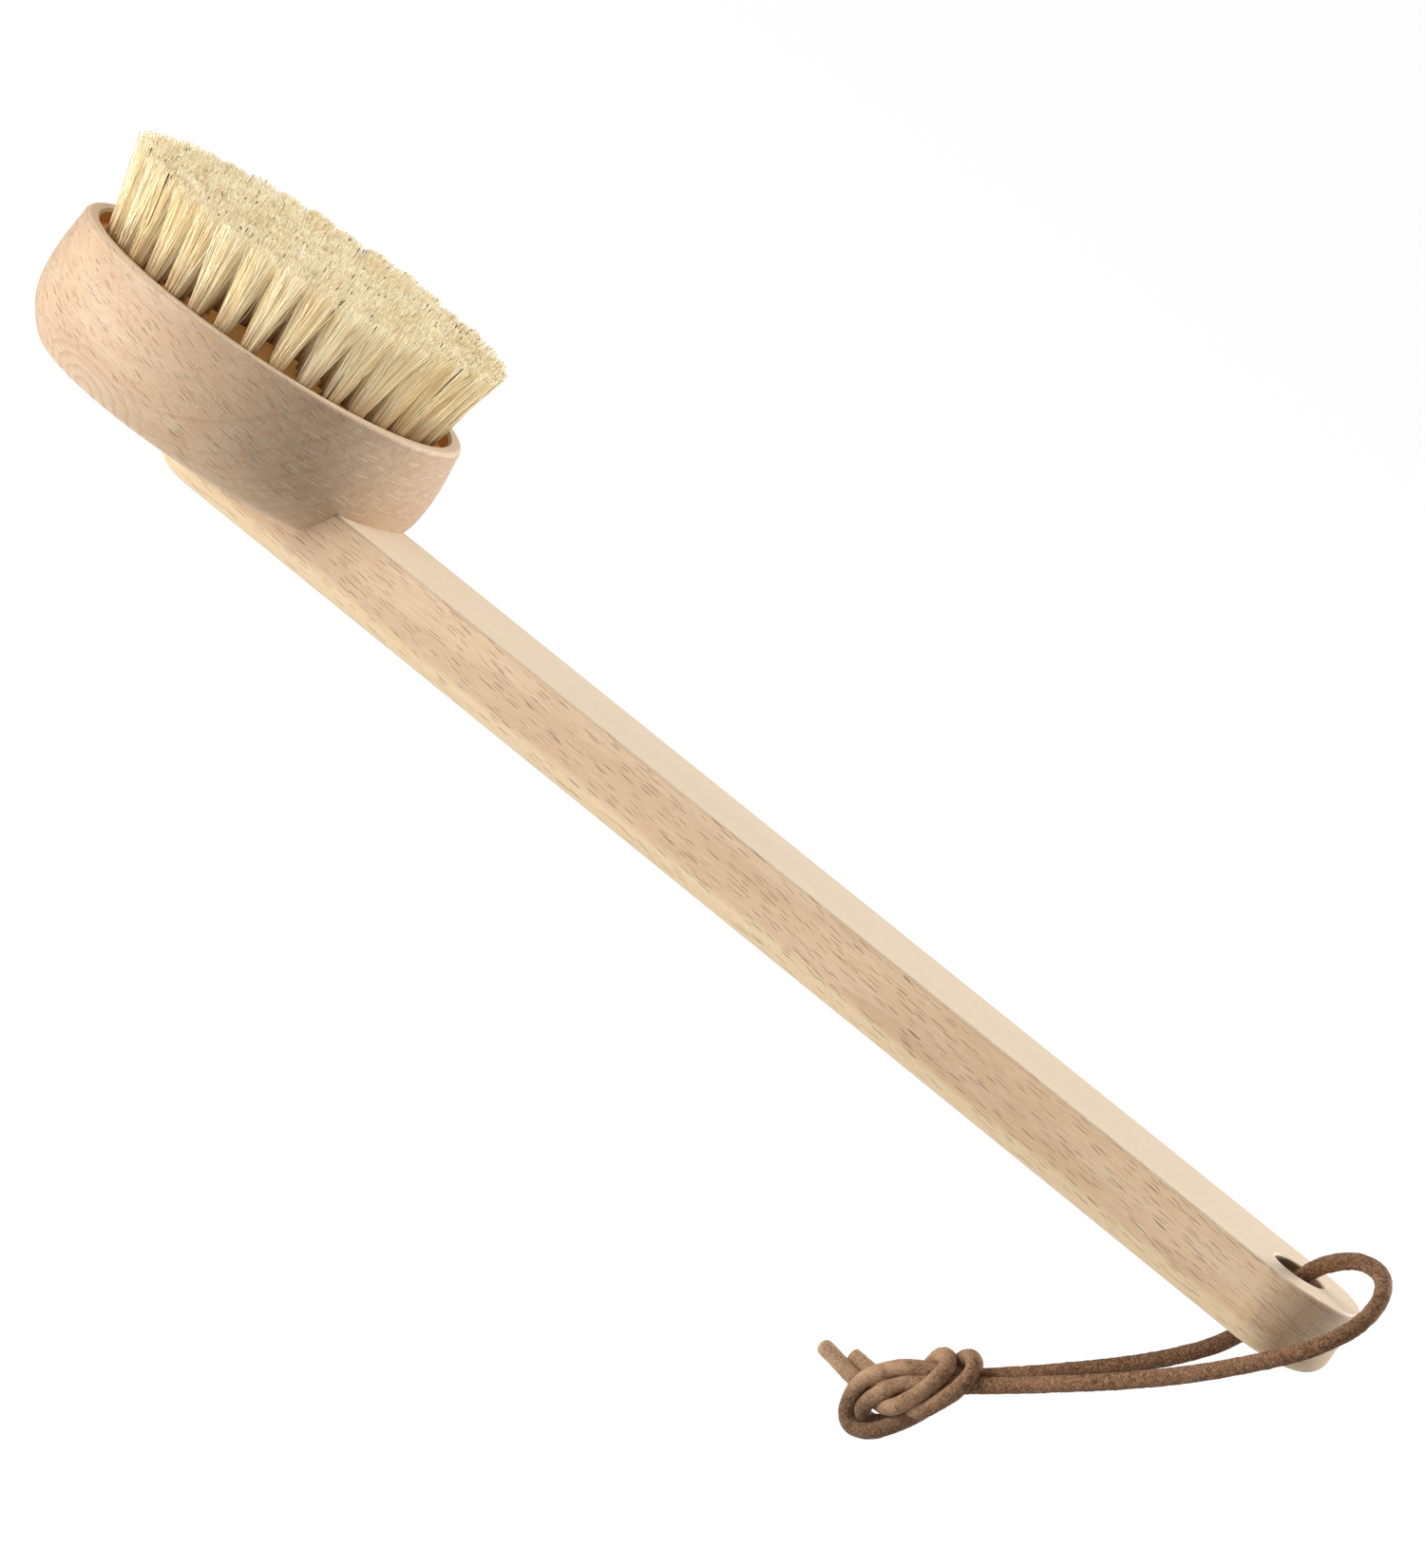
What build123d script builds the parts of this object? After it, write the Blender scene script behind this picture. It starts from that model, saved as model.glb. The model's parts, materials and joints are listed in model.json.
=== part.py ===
from build123d import *
import math
import os

# Body dry brush: a deep round beech head full of plant-fibre tufts on a long
# beech stick, with a hanging cord through the stick's round end.
#
# Frame: the origin is on the stick's flat back face, under the head's centre.
# +X runs along the stick from the head to the free end, +Z points the way
# the bristles point, +Y completes a right-handed frame. Millimetres.

# ---------------------------------------------------------------- dimensions
# stick
STICK_W = 32.0            # width across
STICK_H = 17.2            # thickness, back face at Z = 0
STICK_TIP_X = 344.0       # free end, furthest point
STICK_HEAD_X = -5.8       # end inside the head, furthest point
TOP_EDGE_R = 0.9          # small round on the top face's edges
BACK_EDGE_R = 5.0         # generous round on the back face's edges
HOLE_X = STICK_TIP_X - STICK_W / 2   # hanging hole, concentric with the round end
HOLE_R = 5.9
HOLE_EDGE_R = 0.8         # eased mouth of the hanging hole

# dovetail tongue on the stick's top face, inside the head
TONGUE_H = 4.0
TONGUE_W_ROOT = 13.0
TONGUE_W_TOP = 17.0
TONGUE_X0 = -2.0
TONGUE_X1 = 52.0          # runs past the head's side, where it is trimmed flush
TONGUE_SINK = 0.01        # overlap into the stick, for a clean union

# head
HEAD_R = 51.0             # nominal radius of the turned side
RIM_Z = STICK_H + 21.4    # plane of the rim
GROOVE_DEPTH = 8.8        # how deep the stick is let into the head's back
BACK_Z = STICK_H - GROOVE_DEPTH
BACK_R = HEAD_R - 8.0     # radius of the flat back
RIM_R = 50.2              # outer radius at the rim
RIM_EDGE_R = 1.2          # round on the rim's outer edge
RIM_SIDE_R = HEAD_R - 0.85   # radius where the rim's round meets the side
RIM_CHAMFER = 0.6         # bevel on the rim's inner edge
BED_R = 46.6              # radius of the sunk tuft bed
BED_DROP = 3.6            # bed below the rim
BED_Z = RIM_Z - BED_DROP

# the turned side between rim and back: (inset from HEAD_R, drop below RIM_Z)
SIDE_STATIONS = [
    (0.50, 5.0), (0.05, 11.0), (0.10, 15.0), (0.50, 18.6),
    (1.70, 22.8), (3.70, 26.2), (5.30, 28.2),
]
SIDE_TANGENTS = [(0.02, -1), (-1, -0.12)]   # at the rim and at the back

# fit of the stick in the head
GROOVE_GAP = 0.05         # at each side of the groove, its floor and the slot's floor
FLANK_GAP = 0.05          # at each flank of the tongue
END_GAP = 0.3             # at the closed ends of the groove and the slot
GROOVE_RUN = 100.0        # straight part of the groove cutter, past the head's side
GROOVE_OVERCUT = 1.0      # cutter starts this far behind the head's back
SLOT_OVERCUT = 0.5        # slot cutter starts this far behind the stick's top face
SLOT_OVERRUN = 5.0        # slot cutter ends this far beyond the head's side

# tufts: rings about the head's centre, (name, ring radius, number of tufts)
RINGS = [
    ("ring_1_outer", 42.1, 36), ("ring_2", 35.1, 30), ("ring_3", 28.1, 24),
    ("ring_4", 21.1, 18), ("ring_5", 14.1, 12), ("ring_6", 7.1, 6), ("centre", 0.0, 1),
]
TIP_Z = RIM_Z + 20.1      # tuft tips, trimmed to one plane
TUFT_H = TIP_Z - BED_Z    # tuft height above the bed
TUFT_OVERSHOOT = 4.0      # extra length before trimming
TRIM_BOX = 200.0          # cube whose top face is the trimming plane
SPREAD = 1.08             # tip circle over root circle
TUFT_HOLE_R = 1.75
TUFT_HOLE_DEPTH = 8.0
HOLE_OVERCUT = 2.0        # extra length of a hole cutter beyond the face it opens
TUFT_ROOT_R = 1.68
TUFT_TIP_R = 3.5
TUFT_ROOT_DEPTH = 5.6     # how far the folded fibres reach into the hole
FOLD_BEVEL_R = 0.3        # bevel round the fold, across the tuft
FOLD_BEVEL_H = 0.6        # bevel round the fold, along the tuft
TUFT_NECK = 0.3           # height above the bed where the tuft starts to widen
ANCHOR_W = 3.2            # flat anchor wire driven across each tuft's fold
ANCHOR_H = 1.5
ANCHOR_T = 0.35
ANCHOR_GAP = 0.15         # between the fold and the anchor

# cord centre line: (x from the hanging hole, y, z from the stick's top face).
# From the knot it runs below the stick, round and over its free end, down
# through the hole and back to the knot.
CORD_R = 1.75
CORD_STATIONS = [
    (-42.4, -3.6, -61.6), (-34.6, -4.6, -55.8), (-25.6, -6.6, -49.0),
    (-11.3, -10.2, -37.4), (1.0, -13.4, -26.4), (10.9, -15.6, -16.2),
    (18.9, -16.4, -6.6), (22.7, -14.4, 1.9), (22.3, -10.8, 7.9),
    (18.7, -6.9, 11.2), (13.7, -4.2, 11.1), (9.4, -2.5, 9.3),
    (5.3, -1.1, 5.7), (2.4, -0.3, 2.2), (0.9, 0.0, -3.0),
    (-0.4, 0.0, -10.0), (-1.6, -0.1, -16.0), (-3.3, -0.3, -20.4),
    (-7.0, -0.7, -25.5), (-12.4, -1.0, -32.1), (-23.2, -1.0, -42.7),
    (-35.1, -0.6, -53.0), (-43.8, 0.2, -61.2),
]

# knot
KNOT_AXIS = Vector(-25.4, 0.4, -21.6).normalized()
KNOT_WIDE_DIR = (0.65, 0, -0.76)   # direction of the ellipses' first radius
KNOT_OFFSET = 2.4                  # from the strands' ends to the knot
# (distance along the axis, first radius, second radius)
KNOT_STATIONS = [(0, 5.4, 4.4), (10, 7.2, 5.4), (24, 7.4, 5.2), (32, 4.6, 3.6)]

# colours
BEECH = (0.86, 0.70, 0.50)
FIBRE = (0.90, 0.78, 0.52)
WIRE = (0.75, 0.75, 0.72)
CORD_BROWN = (0.55, 0.38, 0.24)
KNOT_BROWN = (0.50, 0.34, 0.21)


def save(shape, node, colour):
    shape.label = node
    shape.color = Color(*colour)
    export_step(shape, os.path.join("parts", node + ".step"))


# --------------------------------------------------------------------- stick
def make_bar():
    """Flat bar with half-round ends and the hanging hole, without its tongue."""
    with BuildPart() as bar_builder:
        with BuildSketch(Plane.XY):
            with Locations(((STICK_TIP_X + STICK_HEAD_X) / 2, 0)):
                SlotOverall(STICK_TIP_X - STICK_HEAD_X, STICK_W)
        extrude(amount=STICK_H)
        back = bar_builder.faces().sort_by(Axis.Z)[0]
        fillet(back.edges(), BACK_EDGE_R)
        top = bar_builder.faces().sort_by(Axis.Z)[-1]
        fillet(top.edges(), TOP_EDGE_R)

    hole = Location((HOLE_X, 0, STICK_H / 2)) * Cylinder(HOLE_R, STICK_H + 2)
    bar = bar_builder.part - hole
    mouths = [
        edge for edge in bar.edges().filter_by(GeomType.CIRCLE)
        if abs(edge.radius - HOLE_R) < 1e-3 and abs(edge.arc_center.X - HOLE_X) < 1e-3
    ]
    return bar.fillet(HOLE_EDGE_R, mouths)


def dovetail(x0, x1, z0, z1, gap=0.0):
    """Length of the dovetail, wider at its top, grown by gap at each flank."""
    def half_width(z):
        rise = (z - STICK_H) / TONGUE_H
        return (TONGUE_W_ROOT + rise * (TONGUE_W_TOP - TONGUE_W_ROOT)) / 2 + gap

    low, high = half_width(z0), half_width(z1)
    with BuildPart() as builder:
        with BuildSketch(Plane.YZ.offset(x0)):
            Polygon((-low, z0), (low, z0), (high, z1), (-high, z1), align=None)
        extrude(amount=x1 - x0)
    return builder.part


# ---------------------------------------------------------------------- head
def make_head_blank():
    """Turned body: slightly bellied side, flat back, front sunk for the tufts."""
    side_points = [
        (RIM_SIDE_R, RIM_Z - RIM_EDGE_R),
        *[(HEAD_R - inset, RIM_Z - drop) for inset, drop in SIDE_STATIONS],
        (BACK_R, BACK_Z),
    ]
    with BuildPart() as builder:
        with BuildSketch(Plane.XZ):
            with BuildLine():
                side = Spline(*side_points, tangents=SIDE_TANGENTS)
                Line(side @ 1, (0, BACK_Z))
                Line((0, BACK_Z), (0, BED_Z))
                Line((0, BED_Z), (BED_R, BED_Z))
                Line((BED_R, BED_Z), (BED_R, RIM_Z - RIM_CHAMFER))
                Line((BED_R, RIM_Z - RIM_CHAMFER), (BED_R + RIM_CHAMFER, RIM_Z))
                Line((BED_R + RIM_CHAMFER, RIM_Z), (RIM_R - RIM_EDGE_R, RIM_Z))
                # the middle point is about 45 degrees round the rim's edge
                ThreePointArc(
                    (RIM_R - RIM_EDGE_R, RIM_Z),
                    (RIM_R - RIM_EDGE_R * 0.29, RIM_Z - RIM_EDGE_R * 0.31),
                    (RIM_SIDE_R, RIM_Z - RIM_EDGE_R),
                )
            make_face()
        revolve(axis=Axis.Z)
    return builder.part


def make_groove():
    """Cutter for the stick: open at the +X side, half round at its closed end."""
    width = STICK_W + 2 * GROOVE_GAP
    round_x = STICK_HEAD_X - END_GAP + width / 2
    start_z = BACK_Z - GROOVE_OVERCUT
    with BuildPart() as builder:
        with BuildSketch(Plane.XY.offset(start_z)):
            with Locations((round_x, 0)):
                Circle(width / 2)
            with Locations((round_x + GROOVE_RUN / 2, 0)):
                Rectangle(GROOVE_RUN, width)
        extrude(amount=STICK_H + GROOVE_GAP - start_z)
    return builder.part


# ---------------------------------------------------------- tufts and anchors
def ring_locations(ring_r, count):
    """Hole mouths of one ring on the bed, local Z up the lean.

    Each hole leans outward in proportion to its distance from the centre, so
    that the trimmed tips spread wider than the roots.
    """
    lean = math.degrees(math.atan2(ring_r * (SPREAD - 1), TUFT_H))
    phase = 0.5 if count > 1 else 0.0   # rings start half a pitch from +X
    return [
        Location((0, 0, 0), (0, 0, 360 * (i + phase) / count))
        * Location((ring_r, 0, BED_Z))
        * Location((0, 0, 0), (0, lean, 0))
        for i in range(count)
    ]


def make_tuft_blank():
    """Untrimmed tuft standing on local Z, its hole's mouth at Z = 0."""
    reach = TUFT_H + TUFT_OVERSHOOT
    reach_r = TUFT_ROOT_R + (TUFT_TIP_R - TUFT_ROOT_R) * reach / TUFT_H
    with BuildPart() as builder:
        with BuildSketch(Plane.XZ):
            with BuildLine():
                Polyline(
                    (0, -TUFT_ROOT_DEPTH),
                    (TUFT_ROOT_R - FOLD_BEVEL_R, -TUFT_ROOT_DEPTH),
                    (TUFT_ROOT_R, -TUFT_ROOT_DEPTH + FOLD_BEVEL_H),
                    (TUFT_ROOT_R, TUFT_NECK),
                    (reach_r, reach),
                    (0, reach),
                    (0, -TUFT_ROOT_DEPTH),
                )
            make_face()
        revolve(axis=Axis.Z)
    return builder.part


def save_tufts():
    """Save each ring's tufts and anchors; return the cutters for their holes."""
    trim = Location((0, 0, TIP_Z - TRIM_BOX / 2)) * Box(TRIM_BOX, TRIM_BOX, TRIM_BOX)
    tuft = make_tuft_blank()
    anchor_z = -TUFT_ROOT_DEPTH - ANCHOR_GAP - ANCHOR_H / 2
    anchor = Location((0, 0, anchor_z)) * Box(ANCHOR_T, ANCHOR_W, ANCHOR_H)
    hole = (
        Location((0, 0, (HOLE_OVERCUT - TUFT_HOLE_DEPTH) / 2))
        * Cylinder(TUFT_HOLE_R, TUFT_HOLE_DEPTH + HOLE_OVERCUT)
    )
    holes = []
    for name, ring_r, count in RINGS:
        places = ring_locations(ring_r, count)
        tufts = [(place * tuft & trim).solid() for place in places]
        anchors = [(place * anchor).solid() for place in places]
        holes += [(place * hole).solid() for place in places]
        save(Compound(children=tufts), "tufts_" + name, FIBRE)
        save(Compound(children=anchors), "anchors_" + name, WIRE)
    return holes


# ------------------------------------------------------------- cord and knot
def make_cord(points):
    with BuildPart() as builder:
        with BuildLine():
            path = Spline(*points)
        with BuildSketch(Plane(origin=path @ 0, z_dir=path % 0)):
            Circle(CORD_R)
        sweep(is_frenet=True)
    return builder.part


def make_knot(strand_ends):
    """Knot and tails as one plain solid just beyond the strands' ends."""
    start = (strand_ends[0] + strand_ends[1]) * 0.5 + KNOT_AXIS * KNOT_OFFSET
    with BuildPart() as builder:
        for distance, wide_r, narrow_r in KNOT_STATIONS:
            centre = start + KNOT_AXIS * distance
            with BuildSketch(Plane(origin=centre, x_dir=KNOT_WIDE_DIR, z_dir=KNOT_AXIS)):
                Ellipse(wide_r, narrow_r)
        loft()
    return builder.part


# --------------------------------------------------------------------- build
os.makedirs("parts", exist_ok=True)

head = make_head_blank()

# the tongue ends flush with the turned side
tongue = dovetail(TONGUE_X0, TONGUE_X1, STICK_H - TONGUE_SINK, STICK_H + TONGUE_H)
save(make_bar() + (tongue & head), "handle", BEECH)

slot = dovetail(
    TONGUE_X0 - END_GAP, HEAD_R + SLOT_OVERRUN,
    STICK_H - SLOT_OVERCUT, STICK_H + TONGUE_H + GROOVE_GAP, gap=FLANK_GAP,
)
head = head - make_groove()
head = head - slot
head = head - save_tufts()
save(head, "head_body", BEECH)

cord_points = [(HOLE_X + x, y, STICK_H + z) for x, y, z in CORD_STATIONS]
save(make_cord(cord_points), "hang_cord", CORD_BROWN)
save(make_knot((Vector(*cord_points[0]), Vector(*cord_points[-1]))), "cord_knot", KNOT_BROWN)
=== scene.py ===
"""A beech brush with plant-fibre tufts and a suede hanging cord.

The round head stands at the -X end with its tufts pointing up (+Z). The stick runs along X, and
the cord goes through a hole near its +X end. The knot hangs below, and the camera looks from -Y.
"""
import json
import math
from types import SimpleNamespace

import bpy
import numpy as np
from mathutils import Matrix, Vector

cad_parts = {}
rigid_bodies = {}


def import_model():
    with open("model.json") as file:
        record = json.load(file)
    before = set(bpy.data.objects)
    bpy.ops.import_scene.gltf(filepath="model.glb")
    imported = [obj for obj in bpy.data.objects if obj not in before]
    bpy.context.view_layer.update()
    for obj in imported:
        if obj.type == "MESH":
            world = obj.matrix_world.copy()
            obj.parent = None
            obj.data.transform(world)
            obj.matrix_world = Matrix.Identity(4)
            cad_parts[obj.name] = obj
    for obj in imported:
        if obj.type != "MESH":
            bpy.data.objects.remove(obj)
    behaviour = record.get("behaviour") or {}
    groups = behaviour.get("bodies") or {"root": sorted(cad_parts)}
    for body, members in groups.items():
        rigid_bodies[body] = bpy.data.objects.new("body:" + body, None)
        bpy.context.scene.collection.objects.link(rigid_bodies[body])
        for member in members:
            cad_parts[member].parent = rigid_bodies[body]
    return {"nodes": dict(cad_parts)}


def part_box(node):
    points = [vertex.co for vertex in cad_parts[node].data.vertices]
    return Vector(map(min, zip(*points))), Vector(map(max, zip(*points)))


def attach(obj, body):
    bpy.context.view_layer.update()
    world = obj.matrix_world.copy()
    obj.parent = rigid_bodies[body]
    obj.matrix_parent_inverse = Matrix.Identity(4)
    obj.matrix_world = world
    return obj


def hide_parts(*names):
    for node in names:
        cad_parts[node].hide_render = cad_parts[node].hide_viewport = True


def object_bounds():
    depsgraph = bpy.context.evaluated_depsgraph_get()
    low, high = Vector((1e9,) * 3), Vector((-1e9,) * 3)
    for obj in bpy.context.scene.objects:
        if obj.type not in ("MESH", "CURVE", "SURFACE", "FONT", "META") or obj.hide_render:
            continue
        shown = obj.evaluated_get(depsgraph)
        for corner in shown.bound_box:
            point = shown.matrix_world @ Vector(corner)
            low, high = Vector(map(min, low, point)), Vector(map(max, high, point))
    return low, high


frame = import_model()
scene = bpy.context.scene
CAD_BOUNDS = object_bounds()
MM = 0.001

# ------------------------------------------------------- places, from the CAD nodes' boxes
handle_low, handle_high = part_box("handle")
head_low, head_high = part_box("head_body")
HALF_WIDTH = (handle_high.y - handle_low.y) / 2
# the hole's centre, on the stick's top face
HOLE = Vector((
    handle_high.x - HALF_WIDTH,
    (handle_high.y + handle_low.y) / 2,
    handle_high.z - 4.0 * MM,
))
HOLE_MM = [value / MM for value in HOLE]
HEAD_CENTRE = Vector(((head_low.x + head_high.x) / 2, (head_low.y + head_high.y) / 2, 0))
RIM_Z = head_high.z
BED_Z = RIM_Z - 3.6 * MM      # the sunk face the tufts stand in
TIP_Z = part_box("tufts_ring_1_outer")[1].z


# --------------------------------------------------------------------------- shader helpers
class Signal:
    """A node's output. Arithmetic on it adds Math nodes."""

    def __init__(self, tree, socket):
        self.tree = tree
        self.socket = socket

    def __add__(self, other):
        return self.tree.math("ADD", self, other)

    def __sub__(self, other):
        return self.tree.math("SUBTRACT", self, other)

    def __rsub__(self, other):
        return self.tree.math("SUBTRACT", other, self)

    def __mul__(self, other):
        return self.tree.math("MULTIPLY", self, other)

    def __truediv__(self, other):
        return self.tree.math("DIVIDE", self, other)

    def __lt__(self, other):
        return self.tree.math("LESS_THAN", self, other)

    def __gt__(self, other):
        return self.tree.math("GREATER_THAN", self, other)

    def __abs__(self):
        return self.tree.math("ABSOLUTE", self)

    def split(self):
        node = self.tree.node("ShaderNodeSeparateXYZ", {0: self})
        return [Signal(self.tree, socket) for socket in node.outputs]

    def ramp(self, off, on, to=(0.0, 1.0), smooth=True):
        """to[0] where the signal is at `off`, to[1] where it is at `on`, held beyond both."""
        return self.tree.signal(
            "ShaderNodeMapRange", {0: self, 1: off, 2: on, 3: to[0], 4: to[1]},
            interpolation_type="SMOOTHSTEP" if smooth else "LINEAR", clamp=True)


class Tree:
    """The node tree of a new material or world."""

    def __init__(self, owner, output="ShaderNodeOutputMaterial"):
        self.owner = owner
        owner.use_nodes = True
        self.nodes = owner.node_tree.nodes
        self.links = owner.node_tree.links
        self.nodes.clear()
        self.output = self.node(output)

    def node(self, kind, inputs=None, **settings):
        node = self.nodes.new(kind)
        for name, value in settings.items():
            setattr(node, name, value)
        for key, value in (inputs or {}).items():
            if isinstance(value, Signal):
                self.links.new(value.socket, node.inputs[key])
            else:
                node.inputs[key].default_value = value
        return node

    def signal(self, kind, inputs=None, output=0, **settings):
        return Signal(self, self.node(kind, inputs, **settings).outputs[output])

    def finish(self, shader):
        self.links.new(shader.socket, self.output.inputs[0])
        return self.owner

    def math(self, operation, *values):
        return self.signal("ShaderNodeMath", dict(enumerate(values)), operation=operation)

    def vector_math(self, operation, inputs):
        return self.signal("ShaderNodeVectorMath", inputs, operation=operation)

    def vector(self, x, y, z):
        return self.signal("ShaderNodeCombineXYZ", {0: x, 1: y, 2: z})

    def hypot(self, a, b):
        return self.math("SQRT", a * a + b * b)

    def object_place(self):
        return self.signal("ShaderNodeTexCoord", output="Object")

    def place_mm(self):
        return self.vector_math("SCALE", {0: self.object_place(), "Scale": 1000.0})

    def noise(self, place, scale=1.0, detail=2.0, rough=0.5):
        return self.signal("ShaderNodeTexNoise", {
            "Vector": place, "Scale": scale, "Detail": detail, "Roughness": rough})

    def stretched_noise(self, axes, per_mm, **settings):
        """Noise with its own frequency along each of the three axes."""
        scaled = [axis * frequency for axis, frequency in zip(axes, per_mm)]
        return self.noise(self.vector(*scaled), **settings)

    def cells(self, place, randomness=1.0):
        return self.node(
            "ShaderNodeTexVoronoi", {"Vector": place, "Scale": 1.0, "Randomness": randomness},
            voronoi_dimensions="2D", feature="F1")

    def paint(self, ground, *coats):
        """Lay coats over a colour, each given as its colour and how much of it covers."""
        for colour, cover in coats:
            ground = self.signal(
                "ShaderNodeMix", {0: cover, 6: ground, 7: colour}, output=2,
                data_type="RGBA", clamp_factor=True)
        return ground

    def bump(self, height, strength, distance):
        return self.signal("ShaderNodeBump", {
            "Strength": strength, "Distance": distance, "Height": height})

    def principled(self, colour, rough, normal, **extra):
        inputs = {"Base Color": colour, "Roughness": rough, "Normal": normal}
        inputs.update({name.replace("_", " "): value for name, value in extra.items()})
        return self.signal("ShaderNodeBsdfPrincipled", inputs)

    def mix_shaders(self, share, first, second):
        return self.signal("ShaderNodeMixShader", {0: share, 1: first, 2: second})


def material_tree(name):
    return Tree(bpy.data.materials.new(name))


def srgb(*channels):
    linear = [c / 12.92 if c <= 0.04045 else ((c + 0.055) / 1.055) ** 2.4 for c in channels]
    return (*linear, 1.0)


# ------------------------------------------------------------------------------------ beech
RING_WIDTH = 3.1              # mm between growth rings
# Dark spindles where the rays cut the sides, one per cell. Columns, in mm: cell length, cell
# height, half-length range, half-width range; then share kept, shift along X, and how far
# the rows close up when the spindles are stretched (an exponent).
SPINDLES = (
    (4.1, 1.05, (0.9, 1.7), (0.042, 0.066), 0.68, 0.0, 0.8),
    (2.5, 0.60, (0.4, 1.0), (0.026, 0.040), 0.50, 17.3, 0.0),
    (5.2, 1.80, (1.2, 2.3), (0.050, 0.080), 0.64, 41.9, 0.8),
)


def growth_rings(tree, place, wavy_y, wavy_z, pith):
    """Late wood of the rings about a pith line that runs nearly along X."""
    x, y, z = place
    from_pith_y = wavy_y + x * 0.010 - pith[0]
    from_pith_z = wavy_z - x * 0.016 - pith[1]
    radius = tree.hypot(from_pith_y, from_pith_z)
    radius = radius + tree.stretched_noise((x, y, z), per_mm=(0.03, 0.2, 0.2)) * 1.4
    ring = tree.math("FRACT", radius / RING_WIDTH)
    late = ring.ramp(off=0.55, on=0.93) * ring.ramp(off=1.0, on=0.95)
    # each year has its own depth of colour
    year = tree.vector(tree.math("FLOOR", radius / RING_WIDTH), 3.3, 1.7)
    return late * tree.noise(year, scale=2.1, detail=0.0).ramp(off=0.3, on=0.7, to=(0.35, 1.0))


def spindles(tree, place, wavy_z, tilt, stretch, thin, row):
    """Spindles of one size, each with its own length, width and depth of colour."""
    x, y, _ = place
    cell_x, cell_z, half_length, half_width, keep, shift, closing = row
    cell_x = cell_x * stretch
    cell_z = cell_z / stretch ** closing
    place = tree.vector((x + shift) / cell_x, (wavy_z + y * 0.06) / cell_z, 0.0)
    cell = tree.cells(place, randomness=0.8)
    centre = Signal(tree, cell.outputs["Position"])
    along, across, _ = tree.vector_math("SUBTRACT", {0: place, 1: centre}).split()
    pick_length, pick_width, pick_depth = Signal(tree, cell.outputs["Color"]).split()
    slant = (pick_width - 0.5) * 0.04 + tilt
    along = along * cell_x
    across = across * cell_z + along * slant
    length = pick_length.ramp(
        off=0.0, on=1.0, to=[size * stretch for size in half_length], smooth=False)
    width = pick_width.ramp(
        off=0.0, on=1.0, to=[size * thin for size in half_width], smooth=False)
    along = along / length
    across = across / width
    inside = (along * along + across * across).ramp(off=1.15, on=0.70)
    return inside * pick_depth.ramp(off=1.0 - keep, on=1.0 - keep + 0.5)


def handle_marks(tree, place, end, wide, tones, colour, spindle):
    """The handle's end faces, the part above the stick's top face, a pale low band, and painted
    shade on the hole's wall.
    """
    x, y, z = place
    below_top = z < HOLE_MM[2] + 0.05
    # painted shade: the hole's wall is darkened
    hole_shade = tree.hypot(x - HOLE_MM[0], y - HOLE_MM[1]) < 6.05
    band_height = z + (wide - 0.5) * 3.0
    colour = tree.paint(
        colour,
        (tones.pale, end * 0.40 * below_top),
        (srgb(0.80, 0.685, 0.56), (1.0 - below_top) * 0.75),
        (srgb(0.925, 0.830, 0.665), band_height.ramp(off=5.6, on=3.2, to=(0.0, 0.50))),
        (srgb(0.40, 0.26, 0.17), hole_shade * 0.80),
    )
    return colour, spindle


def head_marks(tree, place, _end, wide, tones, colour, spindle):
    """Nested arches on the head's side, a little to -X of its -Y point, and a painted golden glow
    on the bed that stands in for warm light bounced from the fibres.
    """
    x, y, z = place
    bed_radius = 47.4
    side_radius = 50.0
    arch_around, arch_z = -9.0, 9.5     # the arches' middle: mm round the side, and height
    arch_stretch = 2.4                  # width over height
    arch_step = 1.75

    # painted light: the sunk bed between the tufts gets a golden coat in place of warm light
    # bounced from the fibres
    bed_bounce_light = (tree.hypot(x, y) < bed_radius) * (z > BED_Z / MM - 0.4)
    bed_bounce_light = bed_bounce_light * z.ramp(off=RIM_Z / MM - 0.3, on=RIM_Z / MM - 1.3)

    around = tree.math("ARCTAN2", x, y * -1.0) * side_radius
    arch = tree.hypot((around - arch_around) / arch_stretch, z - arch_z)
    arch = arch + (wide - 0.5) * 2.2
    step = tree.math("FRACT", arch / arch_step)
    line = step.ramp(off=0.45, on=0.90) * step.ramp(off=1.0, on=0.93)
    line = line * arch.ramp(off=12.0, on=6.0)
    colour = tree.paint(
        colour,
        (tones.pale, arch.ramp(off=9.0, on=3.0, to=(0.0, 0.18))),
        (tones.dark, line * 0.50),
        (srgb(0.93, 0.69, 0.39), bed_bounce_light * 0.92),
    )
    return colour, spindle * arch.ramp(off=3.0, on=9.0, to=(0.15, 1.0))


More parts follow.
